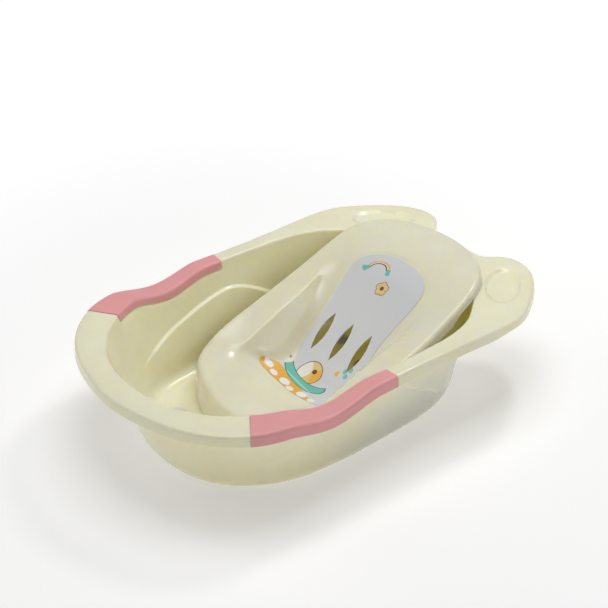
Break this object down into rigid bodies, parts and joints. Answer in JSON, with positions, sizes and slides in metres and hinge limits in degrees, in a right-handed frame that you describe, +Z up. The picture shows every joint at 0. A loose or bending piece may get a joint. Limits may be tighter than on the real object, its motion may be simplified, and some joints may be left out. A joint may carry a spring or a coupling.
{
  "type": "baby bathtub",
  "caption": "Oval plastic baby bathtub with a flanged rim, carrying ears, soft rim grips, a drain stopper and a lift-out reclining bath seat.",
  "frame": {"origin": "under the middle of the tub's bounding box, on the surface it stands on", "axes": "+Z up, +X towards the head end with the two ears, +Y to the left seen from the foot end"},
  "size_m": [0.8484, 0.54, 0.2186],
  "materials": {
    "cream_plastic": "glossy injection-moulded polypropylene",
    "pink_grip": "satin soft-touch grip",
    "printed_film": "satin in-mould film with a printed picture",
    "plug_rubber": "matt soft vinyl",
    "pad_rubber": "matt soft vinyl"
  },
  "bodies": {
    "tub": {"tub_shell": "cream_plastic", "grip_left": "pink_grip", "grip_right": "pink_grip", "foot_pad_1": "pad_rubber", "foot_pad_2": "pad_rubber", "foot_pad_3": "pad_rubber", "foot_pad_4": "pad_rubber"},
    "bath_seat": {"bath_seat": "cream_plastic", "seat_label": "printed_film"},
    "drain_plug": {"drain_plug": "plug_rubber"}
  },
  "joints": [
    {"name": "seat_lift", "type": "slide", "parent": "tub", "child": "bath_seat", "axis": [0, 0, 1], "range_m": [0, 0.25]},
    {"name": "plug_pull", "type": "slide", "parent": "tub", "child": "drain_plug", "axis": [0, 0, 1], "range_m": [0, 0.05]}
  ]
}
